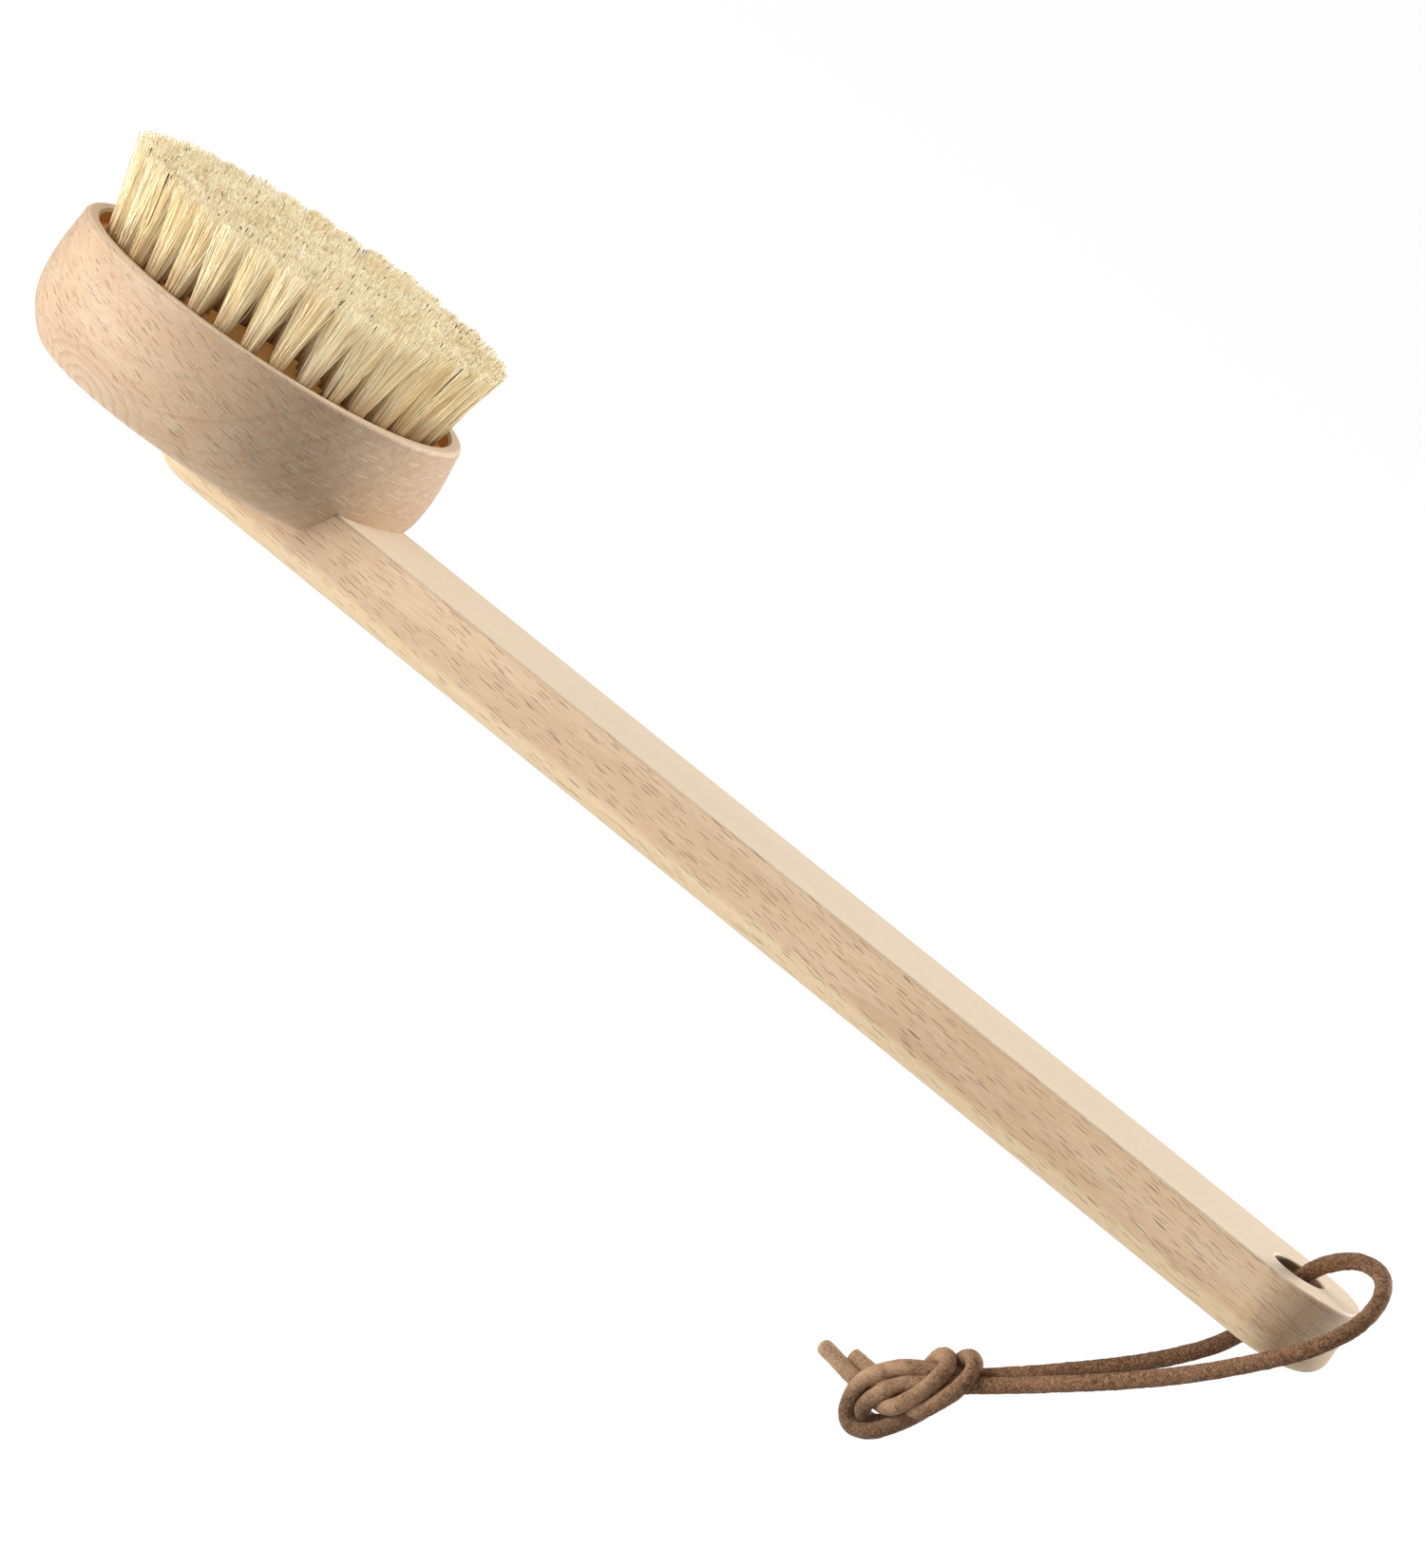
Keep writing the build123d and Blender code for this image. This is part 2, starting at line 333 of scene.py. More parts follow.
def beech(name, tones, pith, seed, end_range, spindle_look, marks):
    """Beech as a solid: fibres run along X, rays along Y, and rings curve round a pith line.

    end_range: how far a face must turn to X to count as end grain.
    spindle_look: the spindles' strength, tilt, stretch and thinness.
    marks: adds what only this piece has.
    """
    tree = material_tree(name)
    place = tree.place_mm()
    own_place = place.split()
    shift = (seed * 37.0, seed * 11.0, seed * 5.0)
    place = tree.vector_math("ADD", {0: place, 1: shift})
    x, y, z = axes = place.split()
    normal = tree.signal(
        "ShaderNodeVectorTransform",
        {0: tree.signal("ShaderNodeNewGeometry", output="True Normal")},
        vector_type="NORMAL", convert_from="WORLD", convert_to="OBJECT")
    facing_x, facing_y, facing_z = (abs(part) for part in normal.split())
    side = facing_y.ramp(off=0.25, on=0.75)
    end = facing_x.ramp(off=end_range[0], on=end_range[1])
    flat = facing_z.ramp(off=0.55, on=0.95)

    # slow waver of the grain, in mm
    waver = (tree.stretched_noise(axes, per_mm=(0.012, 0.05, 0.05)) - 0.5) * 6.0
    wavy_z = z + waver
    wavy_y = y + waver
    late = growth_rings(
        tree, axes, wavy_y, wavy_z, (pith[0] + shift[1], pith[1] + shift[2]))

    # fibre streaks at two widths, and broad patches
    wavy = (x, wavy_y, wavy_z)
    fine = tree.stretched_noise(wavy, per_mm=(0.10, 3.2, 3.2), detail=3.0, rough=0.65)
    wide = tree.stretched_noise(wavy, per_mm=(0.018, 0.32, 0.32), detail=3.0, rough=0.55)
    patch = tree.stretched_noise(axes, per_mm=(0.011, 0.045, 0.045), detail=1.0)

    look = spindle_look
    medium, small, large = (
        spindles(tree, axes, wavy_z, look.tilt, look.stretch, look.thin, row)
        for row in SPINDLES)
    spindle = tree.math("MAXIMUM", tree.math("MAXIMUM", medium, small * 0.55), large)
    spindle = spindle * side * look.strength

    # broken faint pores, weakest on flat faces, and pale flecks on those faces only
    pores = tree.stretched_noise(axes, per_mm=(0.35, 5.0, 5.0), rough=0.6)
    pores = pores.ramp(off=0.62, on=0.78) * (0.32 - flat * 0.07)
    fleck = tree.stretched_noise(axes, per_mm=(1.3, 0.45, 0.8)).ramp(off=0.58, on=0.72) * flat
    # end grain: vessels as dots, rays as fine lines along Y, and lines across them
    vessels = tree.cells(tree.vector(y * 3.4, z * 3.4, 0.0))
    dots = Signal(tree, vessels.outputs["Distance"]).ramp(off=0.34, on=0.16)
    rays = tree.stretched_noise((y, wavy_z, x), per_mm=(0.16, 2.4, 0.3))
    cross = tree.stretched_noise((y, z, x), per_mm=(2.2, 0.35, 0.2))

    colour = tree.paint(
        tones.base,
        (tones.warm, wide.ramp(off=0.30, on=0.72)),
        (tones.dark, patch.ramp(off=0.40, on=0.70) * 0.38),
        (tones.dark, fine.ramp(off=0.42, on=0.75) * 0.42),
        (tones.pale, fine.ramp(off=0.48, on=0.22) * 0.25),
        (tones.dark, late * (flat * -0.15 + 0.30)),
        # flat faces paler: partly their own grain, partly a painted highlight for the sheen they
        # catch from above
        (tones.pale, flat * 0.66),
        (tones.pale, fleck * 0.20),
        (tones.dark, pores),
        (srgb(0.52, 0.39, 0.28), dots * end * 0.32),
        (tones.pale, rays.ramp(off=0.55, on=0.68) * end * 0.58),
        (tones.dark, cross.ramp(off=0.50, on=0.66) * end * 0.34),
    )
    colour, spindle = marks(tree, own_place, end, wide, tones, colour, spindle)
    colour = tree.paint(colour, (srgb(0.38, 0.26, 0.165), spindle * 0.88))

    # spindles and vessels are sunk; the finest noise roughens the whole face
    micro = tree.noise(place, scale=6.0, rough=0.6)
    height = fine * 0.5 + spindle * -0.6 + dots * end * -0.6 + micro * 0.35
    rough = fine.ramp(off=0.25, on=0.75, to=(0.50, 0.62), smooth=False) + spindle * 0.2
    bump = tree.bump(height, strength=0.55, distance=0.00012)
    return tree.finish(tree.principled(colour, rough, bump, IOR=1.48))


HANDLE_TONES = SimpleNamespace(
    base=srgb(0.845, 0.735, 0.605), dark=srgb(0.725, 0.590, 0.460),
    warm=srgb(0.835, 0.705, 0.555), pale=srgb(0.915, 0.850, 0.750))
HEAD_TONES = SimpleNamespace(
    base=srgb(0.835, 0.725, 0.600), dark=srgb(0.690, 0.560, 0.450),
    warm=srgb(0.815, 0.685, 0.550), pale=srgb(0.905, 0.820, 0.705))

# the stick's side is cut truer to the fibres, so its spindles are longer and finer
handle_wood = beech(
    "beech_handle", HANDLE_TONES, pith=(70.0, -6.0), seed=1.0, end_range=(0.62, 0.92),
    spindle_look=SimpleNamespace(strength=1.0, tilt=0.06, stretch=1.35, thin=0.86),
    marks=handle_marks)
head_wood = beech(
    "beech_head", HEAD_TONES, pith=(38.0, -34.0), seed=2.0, end_range=(0.45, 0.88),
    spindle_look=SimpleNamespace(strength=0.95, tilt=0.22, stretch=1.0, thin=1.0),
    marks=head_marks)


# ---------------------------------------------------------------------------- other materials
def anchor_steel():
    tree = material_tree("anchor_steel")
    drawn = tree.stretched_noise(tree.place_mm().split(), per_mm=(4.0, 4.0, 30.0))
    colour = tree.paint(
        srgb(0.62, 0.62, 0.60), (srgb(0.75, 0.75, 0.73), drawn.ramp(off=0.3, on=0.7)))
    rough = drawn.ramp(off=0.3, on=0.7, to=(0.25, 0.42))
    bump = tree.bump(drawn, strength=0.2, distance=0.00003)
    return tree.finish(tree.principled(colour, rough, bump, Metallic=1.0))


def plant_fibre():
    """Stiff plant fibre. The mesh's colour attribute 'tone' gives each fibre its looks:
    red = light to golden, green = black strand, blue = place along the fibre."""
    tree = material_tree("plant_fibre")
    golden, black, along = tree.signal(
        "ShaderNodeAttribute", output="Color",
        attribute_type="GEOMETRY", attribute_name="tone").split()
    streak = tree.stretched_noise(tree.place_mm().split(), per_mm=(7.0, 7.0, 0.5))
    colour = tree.paint(
        srgb(0.990, 0.962, 0.855),
        (srgb(0.912, 0.818, 0.600), golden),
        (srgb(0.82, 0.69, 0.48), streak.ramp(off=0.45, on=0.75) * 0.22),
        # painted shade: the lower part of each fibre is darkened golden where the tuft shades
        # itself
        (srgb(0.71, 0.53, 0.29), along.ramp(off=0.55, on=0.0, to=(0.0, 0.78))),
        (srgb(0.09, 0.06, 0.045), black),
    )
    # painted glow: the fibres emit their own colour in place of light scattered through the
    # bundle, with painted shade (brown) at the roots and full colour at the tips
    glow = tree.paint(
        colour, (srgb(0.35, 0.22, 0.08), along.ramp(off=0.0, on=0.65, to=(1.0, 0.0))))
    solid = tree.principled(
        colour, streak.ramp(off=0.3, on=0.7, to=(0.42, 0.58)),
        tree.bump(streak, strength=0.3, distance=0.00004),
        IOR=1.45, Emission_Color=glow, Emission_Strength=0.10)
    thin = tree.signal("ShaderNodeBsdfTranslucent", {0: colour})
    return tree.finish(tree.mix_shaders(0.25, solid, thin))


def suede():
    tree = material_tree("suede_cord")
    place = tree.place_mm()
    x, y, z = place.split()
    hole_x, hole_y, hole_z = HOLE_MM
    big = tree.noise(place, scale=0.16, detail=3.0, rough=0.6)
    mid = tree.noise(place, scale=0.85, detail=3.0, rough=0.65)
    nap = tree.noise(place, scale=2.3, detail=3.0, rough=0.75)
    hairs = tree.noise(place, scale=6.0, rough=0.7)
    shade = srgb(0.36, 0.23, 0.145)
    # the knot and the tails are handled more and have gone paler
    worn = x.ramp(off=hole_x - 40.0, on=hole_x - 62.0)
    worn = worn * big.ramp(off=0.32, on=0.60, to=(0.30, 0.92))
    # painted shade: the knot's underside is darkened
    knot_underside_shade = z.ramp(off=hole_z - 76.0, on=hole_z - 83.5)
    # painted shade on the loop's strand on the +Y side, below the stick's top, where the stick
    # shades it
    stick_shade_behind = y.ramp(off=hole_y - 5.0, on=hole_y - 2.0)
    stick_shade_behind = stick_shade_behind * x.ramp(off=hole_x - 40.0, on=hole_x - 22.0)
    stick_shade_behind = stick_shade_behind * z.ramp(off=hole_z - 2.0, on=hole_z - 12.0)
    tails = x.ramp(off=hole_x - 68.0, on=hole_x - 74.0)
    colour = tree.paint(
        srgb(0.40, 0.265, 0.165),
        (srgb(0.59, 0.43, 0.30), mid.ramp(off=0.38, on=0.64)),
        (srgb(0.54, 0.385, 0.265), big.ramp(off=0.42, on=0.62) * 0.55),
        (srgb(0.79, 0.64, 0.50), worn),
        (shade, knot_underside_shade * 0.70),
        (shade, stick_shade_behind * 0.62),
        (srgb(0.82, 0.68, 0.55), tails * 0.75),
        (srgb(0.80, 0.66, 0.53), nap.ramp(off=0.51, on=0.66) * 0.60),
        (srgb(0.22, 0.125, 0.075), nap.ramp(off=0.48, on=0.32) * 0.72),
        (srgb(0.84, 0.72, 0.60), hairs.ramp(off=0.56, on=0.70) * 0.35),
    )
    height = nap * 0.8 + (mid * 0.4 + hairs * 0.3)
    return tree.finish(tree.principled(
        colour, 0.94, tree.bump(height, strength=1.0, distance=0.00035),
        Sheen_Weight=0.08, Sheen_Roughness=0.5, Specular_IOR_Level=0.2))


def assign(node_name, material):
    piece = frame["nodes"][node_name]
    if not piece.material_slots:
        piece.data.materials.append(material)
    for slot in piece.material_slots:
        slot.link = "OBJECT"
        slot.material = material


assign("handle", handle_wood)
assign("head_body", head_wood)
steel = anchor_steel()
for node_name in frame["nodes"]:
    if node_name.startswith("anchors_"):
        assign(node_name, steel)


# ------------------------------------------------------------------------------ mesh helpers
def make_mesh(name, verts, face_groups, material, smooth=True):
    """Link a mesh. Each face group is an array with one row of vertex numbers per face."""
    groups = [np.asarray(group, np.int32) for group in face_groups]
    corners = np.concatenate([group.ravel() for group in groups])
    counts = np.concatenate([np.full(len(g), g.shape[1], np.int32) for g in groups])
    starts = np.concatenate([[0], np.cumsum(counts)[:-1]]).astype(np.int32)
    mesh = bpy.data.meshes.new(name)
    mesh.vertices.add(len(verts))
    mesh.vertices.foreach_set("co", np.asarray(verts, np.float32).ravel())
    mesh.loops.add(len(corners))
    mesh.loops.foreach_set("vertex_index", corners)
    mesh.polygons.add(len(counts))
    mesh.polygons.foreach_set("loop_start", starts)
    mesh.polygons.foreach_set("loop_total", counts)
    mesh.polygons.foreach_set("use_smooth", np.full(len(counts), smooth))
    mesh.update(calc_edges=True)
    mesh.validate()
    mesh.materials.append(material)
    piece = bpy.data.objects.new(name, mesh)
    scene.collection.objects.link(piece)
    return piece


def add_uv(piece, groups):
    layer = piece.data.uv_layers.new(name="OFBake")
    flat = np.concatenate([group.reshape(-1, 2) for group in groups])
    layer.data.foreach_set("uv", flat.astype(np.float32).ravel())


# ------------------------------------------------------------------------------------- tufts
# name, radius in mm, tufts, fibres in each tuft
RINGS = (
    ("ring_1_outer", 42.1, 36, 150),
    ("ring_2", 35.1, 30, 150),
    ("ring_3", 28.1, 24, 125),
    ("ring_4", 21.1, 18, 125),
    ("ring_5", 14.1, 12, 125),
    ("ring_6", 7.1, 6, 125),
    ("centre", 0.0, 1, 125),
)
SPREAD = 1.08                 # a ring's radius at the tips over that at the bed
ROOT_RADIUS = 1.45            # mm, a tuft in its hole
TIP_RADIUS = 3.90             # mm, an outer tuft at its tips
INNER_EXTRA = 0.40            # mm more for inner tufts, which fan into one another
ROOT_DEPTH = 1.2              # mm that fibres reach below the bed
FIBRE_SIDES = 3
FIBRE_STEPS = 5
FIBRE_RINGS = FIBRE_STEPS + 1
ALONG = np.linspace(0, 1, FIBRE_RINGS)


def build_tuft(rng, ring_radius, angle, count):
    """One tuft's vertices (mm) and tones, indexed by fibre, ring along it and side."""
    outermost = ring_radius > 40
    outward = np.array([math.cos(angle), math.sin(angle)])
    sideways = np.array([-math.sin(angle), math.cos(angle)])

    # fibres packed in the hole, then fanned out; columns are outward and sideways
    from_centre = ROOT_RADIUS * np.sqrt(rng.random(count))
    turn = rng.random(count) * 2 * math.pi
    root = np.column_stack([from_centre * np.cos(turn), from_centre * np.sin(turn)])
    fan = rng.normal(1.0, 0.10, count)[:, None]
    reach = (TIP_RADIUS if outermost else TIP_RADIUS + INNER_EXTRA) / ROOT_RADIUS
    tip = root * reach * fan + rng.normal(0, 0.24, (count, 2))
    tuft_shift = rng.normal(0, 0.30, 2)
    if outermost:
        # pulled in a little at the outside
        tip[:, 0] = np.minimum(tip[:, 0], TIP_RADIUS + rng.normal(0, 0.18, count))
    root_xy = (ring_radius * outward
               + np.outer(root[:, 0], outward) + np.outer(root[:, 1], sideways))
    tip_xy = (ring_radius * SPREAD * outward + tuft_shift
              + np.outer(tip[:, 0], outward) + np.outer(tip[:, 1], sideways))

    # each fibre bows once and waves once; a few strays do so more
    bow = rng.normal(0, 0.30, (count, 2))
    wave = rng.normal(0, 0.16, (count, 2))
    stray = rng.random(count) < 0.035
    bow[stray] *= 3.0
    tip_xy[stray] += rng.normal(0, 0.9, (int(stray.sum()), 2))

    # uneven cut: the tuft's edge lies a little lower, and a few fibres are short
    cut = rng.normal(0, 0.16, count) - np.abs(rng.normal(0, 0.22, count)) + rng.normal(0, 0.16)
    cut -= 0.85 * (np.hypot(root[:, 0], root[:, 1]) / ROOT_RADIUS) ** 4
    short = rng.random(count) < 0.04
    cut[short] -= rng.random(int(short.sum())) * 2.5
    length = (TIP_Z - BED_Z) / MM + np.minimum(cut, 0.45)

    # thickness and tone; black strands come in some tufts more than others
    radius = rng.uniform(0.085, 0.145, count)
    golden = np.clip(rng.normal(0.48, 0.36, count) + rng.normal(0, 0.12), 0, 1)
    pick = rng.random(count)
    black_share = 0.009 * rng.gamma(0.8) / 0.8
    black = np.where(pick < black_share, 1.0, np.where(pick < 0.09, 0.17, 0.0))
    radius[black > 0.9] *= 1.3
    length[black > 0.9] += 0.25

    middle = np.zeros((count, FIBRE_RINGS, 3))
    for j, part in enumerate(ALONG):
        fanned = part ** 1.38
        middle[:, j, :2] = (root_xy * (1 - fanned) + tip_xy * fanned
                            + bow * math.sin(math.pi * part)
                            + wave * math.sin(2 * math.pi * part))
        middle[:, j, 2] = -ROOT_DEPTH + (length + ROOT_DEPTH) * part
    middle += np.array([HEAD_CENTRE.x, HEAD_CENTRE.y, BED_Z]) / MM

    spin = rng.random(count) * 2 * math.pi
    thickness = (1.0 - 0.12 * ALONG)[None, :, None] * radius[:, None, None]
    verts = np.zeros((count, FIBRE_RINGS, FIBRE_SIDES, 3))
    for side in range(FIBRE_SIDES):
        around = spin + 2 * math.pi * side / FIBRE_SIDES
        offset = np.column_stack([np.cos(around), np.sin(around)])
        verts[:, :, side, :2] = middle[:, :, :2] + offset[:, None, :] * thickness
        verts[:, :, side, 2] = middle[:, :, 2]
    # the cut end is slightly slanted
    verts[:, -1, :, 2] += rng.normal(0, 0.10, (count, FIBRE_SIDES))

    tones = np.ones((count, FIBRE_RINGS, FIBRE_SIDES, 4))
    tones[..., 0] = golden[:, None, None]
    tones[..., 1] = black[:, None, None]
    tones[..., 2] = ALONG[None, :, None]
    return verts, tones


def fibre_faces(count):
    """Skin quads, cut-end triangles and foot triangles of `count` fibres."""
    first = np.arange(count)[:, None] * FIBRE_RINGS * FIBRE_SIDES
    side = np.arange(FIBRE_SIDES)
    low = first[:, :, None] + np.arange(FIBRE_STEPS)[None, :, None] * FIBRE_SIDES
    here = low + side
    after = low + (side + 1) % FIBRE_SIDES
    skin = np.stack([here, after, after + FIBRE_SIDES, here + FIBRE_SIDES], -1).reshape(-1, 4)
    return [skin, first + FIBRE_STEPS * FIBRE_SIDES + side, first + side[::-1]]


def fibre_uvs(count):
    """A small cell of the unit square per fibre: across = round it, up = along it."""
    grid = int(math.ceil(math.sqrt(count)))
    column = np.arange(count) % grid
    row = np.arange(count) // grid
    side = np.arange(FIBRE_SIDES)[:, None] + np.array([0, 1, 1, 0])
    step = np.arange(FIBRE_STEPS)[:, None, None] + np.array([0, 0, 1, 1])
    u = (column[:, None, None, None] + 0.18 + 0.64 * side / FIBRE_SIDES) / grid
    v = (row[:, None, None, None] + 0.15 + 0.60 * step / FIBRE_STEPS) / grid
    cell = np.stack([column, row], -1)[:, None, :]
    end = cell + np.array([[0.40, 0.80], [0.60, 0.80], [0.50, 0.86]])
    return [np.stack(np.broadcast_arrays(u, v), -1),
            end / grid, (end - np.array([0.0, 0.72])) / grid]


def build_ring(name, radius, tufts, fibres_each, seed, material):
    rng = np.random.default_rng(seed)
    half_step = 0.5 * (tufts > 1)
    parts = [
        build_tuft(rng, radius, 2 * math.pi * (k + half_step) / tufts, fibres_each)
        for k in range(tufts)]
    verts, tones = (np.concatenate(group) for group in zip(*parts))
    count = len(verts)
    ring = make_mesh("fibres_" + name, verts.reshape(-1, 3) * MM, fibre_faces(count), material)
    add_uv(ring, fibre_uvs(count))
    attribute = ring.data.color_attributes.new("tone", "FLOAT_COLOR", "POINT")
    attribute.data.foreach_set("color", tones.astype(np.float32).ravel())
    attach(ring, "head")
    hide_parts("tufts_" + name)


fibre = plant_fibre()
for number, ring in enumerate(RINGS):
    build_ring(*ring, seed=100 + number, material=fibre)

# -------------------------------------------------------------------------------------- cord
# Middle line of the whole cord: one tail, the knot, round the stick's end, down through the
# hole, the knot again, the other tail. x, y, z in mm from the hole's centre on the stick's top.
CORD_PATH = (
    (-80.0, 0.1, -78.3), (-72.0, 1.0, -79.4), (-64.0, 0.2, -80.1), (-59.7, -1.2, -79.8),
    (-56.4, -3.4, -78.0), (-53.1, -5.4, -73.1), (-51.0, -5.9, -67.2), (-50.8, -5.1, -63.9),
    (-51.9, -3.8, -62.3), (-53.7, -2.2, -62.3), (-55.7, -0.3, -64.3), (-56.4, 1.4, -68.3),
    (-55.3, 2.4, -74.3), (-56.0, 2.1, -79.3), (-58.0, 1.6, -83.0), (-60.0, 1.2, -84.5),
    (-61.9, 0.1, -84.8), (-62.6, -1.5, -83.6), (-62.1, -3.0, -80.5), (-58.2, -3.2, -73.4),
    (-53.4, -2.5, -69.5), (-46.7, -2.6, -65.0), (-40.2, -2.9, -60.2), (-33.8, -3.4, -55.3),
    (-27.7, -5.8, -50.6), (-21.5, -7.8, -45.8), (-15.3, -9.3, -40.8), (-9.2, -10.7, -35.6),
    (-3.3, -12.3, -30.4), (2.5, -13.8, -24.9), (8.1, -15.0, -19.2), (13.6, -16.1, -13.3),
    (18.6, -16.4, -7.0), (22.2, -15.0, 0.1), (22.9, -12.8, 4.9), (21.9, -10.3, 8.4),
    (19.4, -7.5, 10.8), (15.7, -5.2, 11.4), (10.2, -2.8, 9.7), (4.3, -0.8, 4.6),
    (1.7, -0.1, 0.1), (-0.0, 0.0, -7.8), (-1.6, -0.1, -15.8), (-5.2, -0.5, -23.0),
    (-10.1, -0.9, -29.4), (-15.6, -1.0, -35.4), (-21.4, -1.0, -41.0), (-27.4, -0.9, -46.5),
    (-33.4, -0.8, -51.8), (-39.7, -0.6, -57.0), (-46.0, -0.2, -62.0), (-52.9, -1.5, -65.9),
    (-59.7, -3.0, -70.0), (-64.4, -3.5, -75.3), (-66.0, -3.3, -79.5), (-65.6, -2.4, -84.7),
    (-64.4, -1.8, -86.8), (-62.1, -1.4, -87.6), (-58.9, -1.2, -86.2), (-54.8, -0.5, -81.1),
    (-52.0, 1.9, -74.7), (-51.6, 2.7, -70.3), (-51.9, 1.7, -64.2), (-50.5, -0.5, -60.6),
    (-48.3, -2.5, -58.9), (-46.4, -3.9, -59.3), (-45.4, -5.1, -61.1), (-45.8, -5.6, -65.4),
    (-49.2, -4.3, -72.6), (-51.4, -3.2, -75.2), (-56.5, -0.2, -76.2), (-63.9, 2.6, -76.8),
    (-72.0, 3.3, -76.8), (-73.8, 3.2, -76.8),
)
CORD_RADIUS = 1.88
CORD_STEP = 0.42
CORD_SIDES = 22
KNOT_X = -43.0                # the loop ends and the knot begins here
NAP_PER_MM = 26
NAP_HALF_WIDTH = 0.028
NAP_ROOT_DEPTH = 0.05


def between(t, t_a, a, t_b, b):
    return (t_b - t) / (t_b - t_a) * a + (t - t_a) / (t_b - t_a) * b


def smooth_path(points, step):
    """Centripetal Catmull-Rom line cut at even steps, with the distance along it."""
    points = np.array(points, float)
    points = np.vstack([2 * points[0] - points[1], points, 2 * points[-1] - points[-2]])
    line = []
    for i in range(1, len(points) - 2):
        p0, p1, p2, p3 = points[i - 1:i + 3]
        t0 = 0.0
        t1 = t0 + np.linalg.norm(p1 - p0) ** 0.5
        t2 = t1 + np.linalg.norm(p2 - p1) ** 0.5
        t3 = t2 + np.linalg.norm(p3 - p2) ** 0.5
        for t in np.linspace(t1, t2, 12, endpoint=False):
            a1 = between(t, t0, p0, t1, p1)
            a2 = between(t, t1, p1, t2, p2)
            a3 = between(t, t2, p2, t3, p3)
            b1 = between(t, t0, a1, t2, a2)
            b2 = between(t, t1, a2, t3, a3)
            line.append(between(t, t1, b1, t2, b2))
    line.append(points[-2])
    line = np.array(line)
    run = np.concatenate([[0], np.cumsum(np.linalg.norm(np.diff(line, axis=0), axis=1))])
    even = np.linspace(0, run[-1], int(run[-1] / step) + 1)
    line = np.column_stack([np.interp(even, run, line[:, k]) for k in range(3)])
    for _ in range(6):
        line[1:-1] = line[1:-1] * 0.5 + (line[:-2] + line[2:]) * 0.25
    return line, even


def unit(vectors, guard=0.0):
    return vectors / (np.linalg.norm(vectors, axis=-1, keepdims=True) + guard)


def cord_skin(rng, middle, run):
    """Skin points, outward directions (both by step and side) and tangents, in mm."""
    count = len(middle)
    tangent = unit(np.gradient(middle, axis=0))
    # frames carried along without twist
    normal = np.zeros_like(tangent)
    normal[0] = unit(np.cross(tangent[0], [0, 1, 0]))
    for i in range(1, count):
        normal[i] = unit(normal[i - 1] - tangent[i] * np.dot(normal[i - 1], tangent[i]))
    binormal = np.cross(tangent, normal)
    angle = np.linspace(0, 2 * math.pi, CORD_SIDES, endpoint=False)
    outward = (np.cos(angle)[None, :, None] * normal[:, None, :]
               + np.sin(angle)[None, :, None] * binormal[:, None, :])

    # uneven surface: slow swelling along the cord, shallow lumps, fine nap
    swelling = np.interp(run, np.linspace(0, run[-1], 60), rng.normal(0, 0.035, 60))
    lump = rng.normal(0, 1.0, (count, CORD_SIDES))
    for _ in range(3):
        lump = (lump + np.roll(lump, 1, 0) + np.roll(lump, -1, 0)
                + np.roll(lump, 1, 1) + np.roll(lump, -1, 1)) / 5
    radius = (CORD_RADIUS + swelling[:, None] + 0.13 * lump
              + rng.normal(0, 0.022, (count, CORD_SIDES)))
    # the first tail is rounded off, the second cut nearly flat
    for from_end, rounding, least in ((run, 1.5, 0.02), (run[-1] - run, 0.35, 0.55)):
        fall = np.clip(1 - from_end / rounding, 0, 1) ** 2
        radius *= np.sqrt(np.clip(1 - fall, least, 1))[:, None]
    skin = middle[:, None, :] + radius[..., None] * outward + np.array(HOLE_MM)
    return skin, outward, tangent


def strip_uvs(steps, length):
    """The skin unrolled in stacked rows, so that its cells stay nearly square.

    Gives u at the start and end of each step, and v at the start and end of each side."""
    rows = max(1, int(round(math.sqrt(length / (2 * math.pi * CORD_RADIUS)))))
    per_row = steps / rows
    step = np.arange(steps)
    row = np.minimum((step / per_row).astype(int), rows - 1)
    side = np.arange(CORD_SIDES)
    u_pair = [(step + k - row * per_row) / (per_row + 1) * 0.98 + 0.005 for k in (0, 1)]
    v_pair = [(row[:, None] + 0.04 + 0.92 * (side + k) / CORD_SIDES) / rows for k in (0, 1)]
    return u_pair, v_pair


def nap_hairs(rng, skin, outward, tangent, length):
    """Loose nap standing off the suede: four points per hair, and where each one roots."""
    step = rng.integers(1, len(skin) - 1, int(length * NAP_PER_MM))
    count = len(step)
    side = rng.integers(0, CORD_SIDES, count)
    base = skin[step, side]
    out = outward[step, side]
    lean = unit(rng.normal(0, 0.8, (count, 1)) * tangent[step] + out
                + rng.normal(0, 0.35, (count, 3)))
    size = rng.uniform(0.10, 0.34, (count, 1)) * np.exp(rng.normal(0, 0.25, (count, 1)))
    across = unit(np.cross(lean, out + 0.01), guard=1e-9)
    root = base - out * NAP_ROOT_DEPTH
    points = np.stack([
        root - across * NAP_HALF_WIDTH,
        root + across * NAP_HALF_WIDTH,
        root + np.cross(across, lean) * NAP_HALF_WIDTH * 1.5,
        base + lean * size,
    ], 1)
    return points, step, side


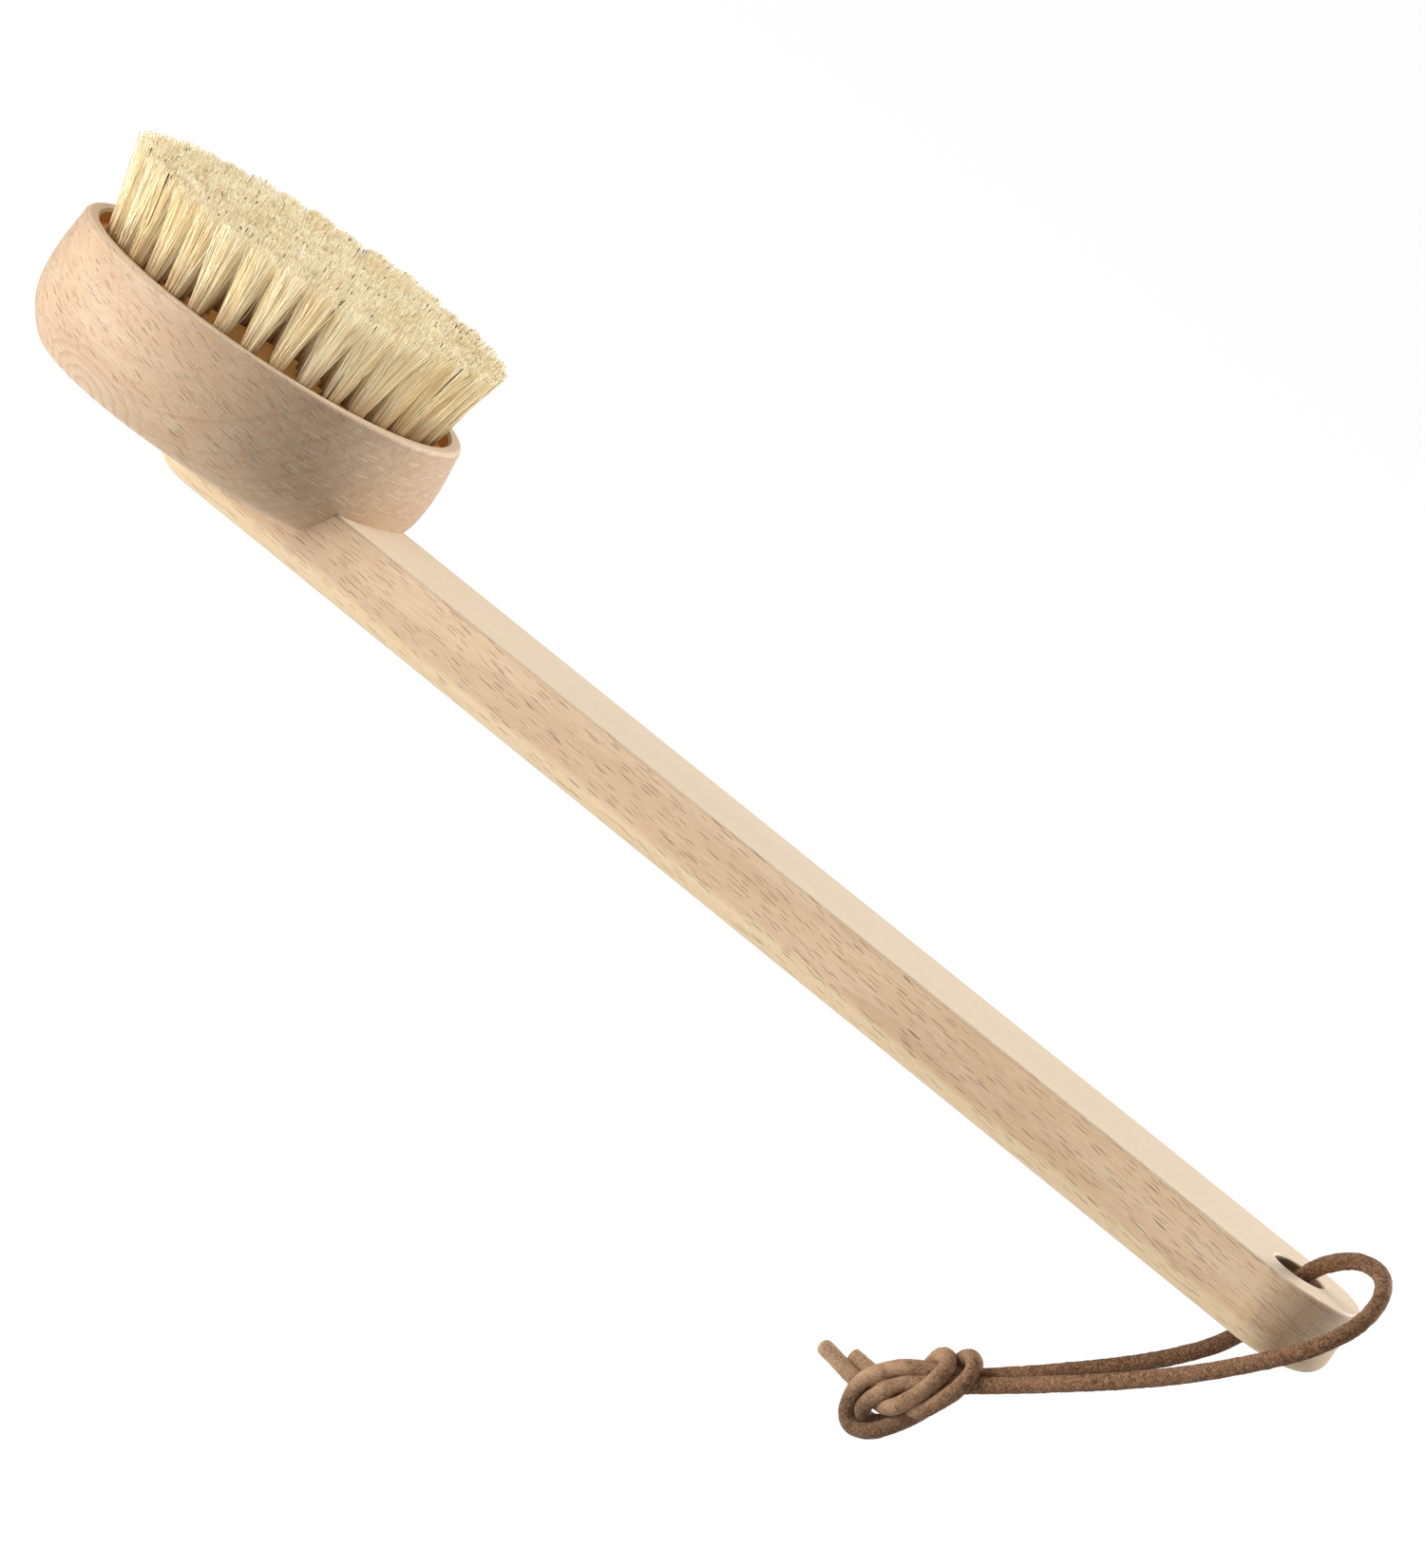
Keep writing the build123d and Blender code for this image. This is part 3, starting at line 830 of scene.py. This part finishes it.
def build_strand(name, node_name, part, rng, cord, material):
    """The stretch `part` of the cord as one closed mesh with its nap."""
    skin, outward, tangent, run = (layer[part] for layer in cord)
    rings = len(skin)
    length = run[-1] - run[0]
    side = np.arange(CORD_SIDES)
    following = (side + 1) % CORD_SIDES

    ring_start = np.arange(rings - 1)[:, None] * CORD_SIDES
    here = ring_start + side
    after = ring_start + following
    faces = [np.stack([here, after, after + CORD_SIDES, here + CORD_SIDES], -1).reshape(-1, 4)]
    (u0, u1), (v0, v1) = strip_uvs(rings - 1, length)
    corners = ((u0, v0), (u0, v1), (u1, v1), (u1, v0))
    uvs = [np.stack([
        np.stack(np.broadcast_arrays(u[:, None], v), -1) for u, v in corners], 2)]
    verts = [skin.reshape(-1, 3)]

    # both ends closed by a fan round a middle point
    total = rings * CORD_SIDES
    for ring, (first, second) in ((0, (following, side)), (rings - 1, (side, following))):
        verts.append(skin[ring].mean(0)[None])
        start = ring * CORD_SIDES
        hub = np.full(CORD_SIDES, total)
        faces.append(np.stack([start + first, start + second, hub], -1))
        total += 1
        u = (ring / rings) * 0.97 + 0.005
        uvs.append(np.tile(np.array([[u, 0.01], [u + 0.01, 0.01], [u, 0.02]]), (CORD_SIDES, 1)))

    points, step, around = nap_hairs(rng, skin, outward, tangent, length)
    verts.append(points.reshape(-1, 3))
    first = total + np.arange(len(step))[:, None, None] * 4
    hair = np.array([[0, 1, 3], [1, 2, 3], [2, 0, 3], [0, 2, 1]])
    faces.append((first + hair).reshape(-1, 3))
    spot = np.stack([u0[step], v0[step, around]], -1)[:, None, None, :]
    spot = spot + np.array([[0, 0], [0.002, 0], [0.001, 0.002]])
    uvs.append(np.broadcast_to(spot, (len(step), 4, 3, 2)))

    strand = make_mesh(name, np.vstack(verts) * MM, faces, material)
    add_uv(strand, uvs)
    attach(strand, "cord")
    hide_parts(node_name)


def build_cord():
    rng = np.random.default_rng(5)
    material = suede()
    middle, run = smooth_path(CORD_PATH, CORD_STEP)
    cord = (*cord_skin(rng, middle, run), run)
    loop = np.where(middle[:, 0] > KNOT_X)[0]
    first, last = loop[0], loop[-1]
    for name, node_name, part in (
        ("cord_loop", "hang_cord", slice(first, last + 1)),
        ("knot_strand_front", "cord_knot", slice(0, first + 1)),
        ("knot_strand_back", "cord_knot", slice(last, None)),
    ):
        build_strand(name, node_name, part, rng, cord, material)


build_cord()


# -------------------------------------------------------------------------- camera and light
def direction(azimuth, elevation):
    """Unit vector, from angles in radians: azimuth 0 is -Y and grows towards +X."""
    return Vector((
        math.sin(azimuth) * math.cos(elevation),
        -math.cos(azimuth) * math.cos(elevation),
        math.sin(elevation),
    ))


def build_camera():
    azimuth, elevation, roll = (math.radians(angle) for angle in (24.02, 10.35, 55.76))
    distance = 1928.4 * MM
    pivot = Vector((handle_high.x - 169.46 * MM, HOLE.y, HOLE.z))
    level = Vector((math.cos(azimuth), math.sin(azimuth), 0))
    upright = Vector((
        -math.sin(azimuth) * math.sin(elevation),
        math.cos(azimuth) * math.sin(elevation),
        math.cos(elevation),
    ))
    backward = direction(azimuth, elevation)
    right = level * math.sin(roll) + upright * math.cos(roll)
    up = -level * math.cos(roll) + upright * math.sin(roll)
    place = Matrix((right, up, backward)).transposed().to_4x4()
    place.translation = pivot + backward * distance

    data = bpy.data.cameras.new("camera")
    camera = bpy.data.objects.new("camera", data)
    scene.collection.objects.link(camera)
    camera.matrix_world = place
    data.sensor_fit = "VERTICAL"
    data.sensor_height = 36.0
    data.lens = 203.93356
    data.shift_x = -0.041878788
    data.shift_y = 0.042909091
    data.clip_start = 0.05
    data.clip_end = 60.0
    scene.camera = camera


def build_world():
    """White to the camera, a weaker white as light."""
    world = bpy.data.worlds.new("studio")
    scene.world = world
    tree = Tree(world, "ShaderNodeOutputWorld")
    lighting, seen = (
        tree.signal("ShaderNodeBackground", {0: (1, 1, 1, 1), 1: strength})
        for strength in (0.33, 1.0))
    to_camera = tree.signal("ShaderNodeLightPath", output="Is Camera Ray")
    tree.finish(tree.mix_shaders(to_camera, lighting, seen))


def area(name, azimuth, elevation, distance, size, power, aim):
    """A disk lamp turned to `aim`; angles in degrees, lengths in metres."""
    data = bpy.data.lights.new(name, "AREA")
    data.shape = "DISK"
    data.size = size
    data.energy = power
    lamp = bpy.data.objects.new(name, data)
    scene.collection.objects.link(lamp)
    aim = Vector(aim)
    place = direction(math.radians(azimuth), math.radians(elevation)) * distance + aim
    lamp.location = place
    lamp.rotation_mode = "QUATERNION"
    lamp.rotation_quaternion = (place - aim).to_track_quat("Z", "Y")
    return lamp


def build_lights():
    brush = (0.12, 0, 0.02)
    area("key_left", azimuth=-44, elevation=2, distance=1.10, size=0.6, power=9.0,
         aim=(0.0, 0, 0.01))
    area("low_left", azimuth=-46, elevation=-38, distance=1.3, size=0.6, power=8.4,
         aim=(0.03, 0, 0.0))
    area("top_soft", azimuth=-30, elevation=74, distance=1.5, size=1.2, power=9.0, aim=brush)
    area("rim_right", azimuth=150, elevation=24, distance=1.6, size=0.6, power=28.0, aim=brush)
    # a front light that only the pale fibres take
    fill = area("fibre_front", azimuth=25, elevation=6, distance=1.4, size=0.5, power=13.0,
                aim=(0.0, 0, 0.05))
    takers = bpy.data.collections.new("fibre_light_takers")
    for piece in bpy.data.objects:
        if piece.name.startswith("fibres_"):
            takers.objects.link(piece)
    fill.light_linking.receiver_collection = takers


def floor_paper():
    """Mostly glowing white, brighter to the camera than to the brush."""
    tree = material_tree("floor_paper")
    mottle = tree.noise(tree.object_place(), scale=3.0)
    to_camera = tree.signal("ShaderNodeLightPath", output="Is Camera Ray")
    glow = tree.signal("ShaderNodeEmission", {0: (1, 1, 1, 1), 1: to_camera * 0.56 + 0.50})
    grey = tree.paint((0.88, 0.88, 0.88, 1), ((0.92, 0.92, 0.92, 1), mottle))
    matt = tree.signal("ShaderNodeBsdfDiffuse", {0: grey})
    return tree.finish(tree.mix_shaders(0.10, glow, matt))


def build_floor():
    half = 8.0
    z = min(CAD_BOUNDS[0][2], 0.0) - 0.0035      # clear of the knot, which hangs below its CAD box
    corners = [(-half, -half, z), (half, -half, z), (half, half, z), (-half, half, z)]
    floor = make_mesh("floor", corners, [[(0, 1, 2, 3)]], floor_paper(), smooth=False)
    floor.visible_shadow = False      # lamps below it shine through


build_camera()
scene.view_settings.view_transform = "Standard"
scene.view_settings.look = "None"
build_world()
build_lights()
build_floor()
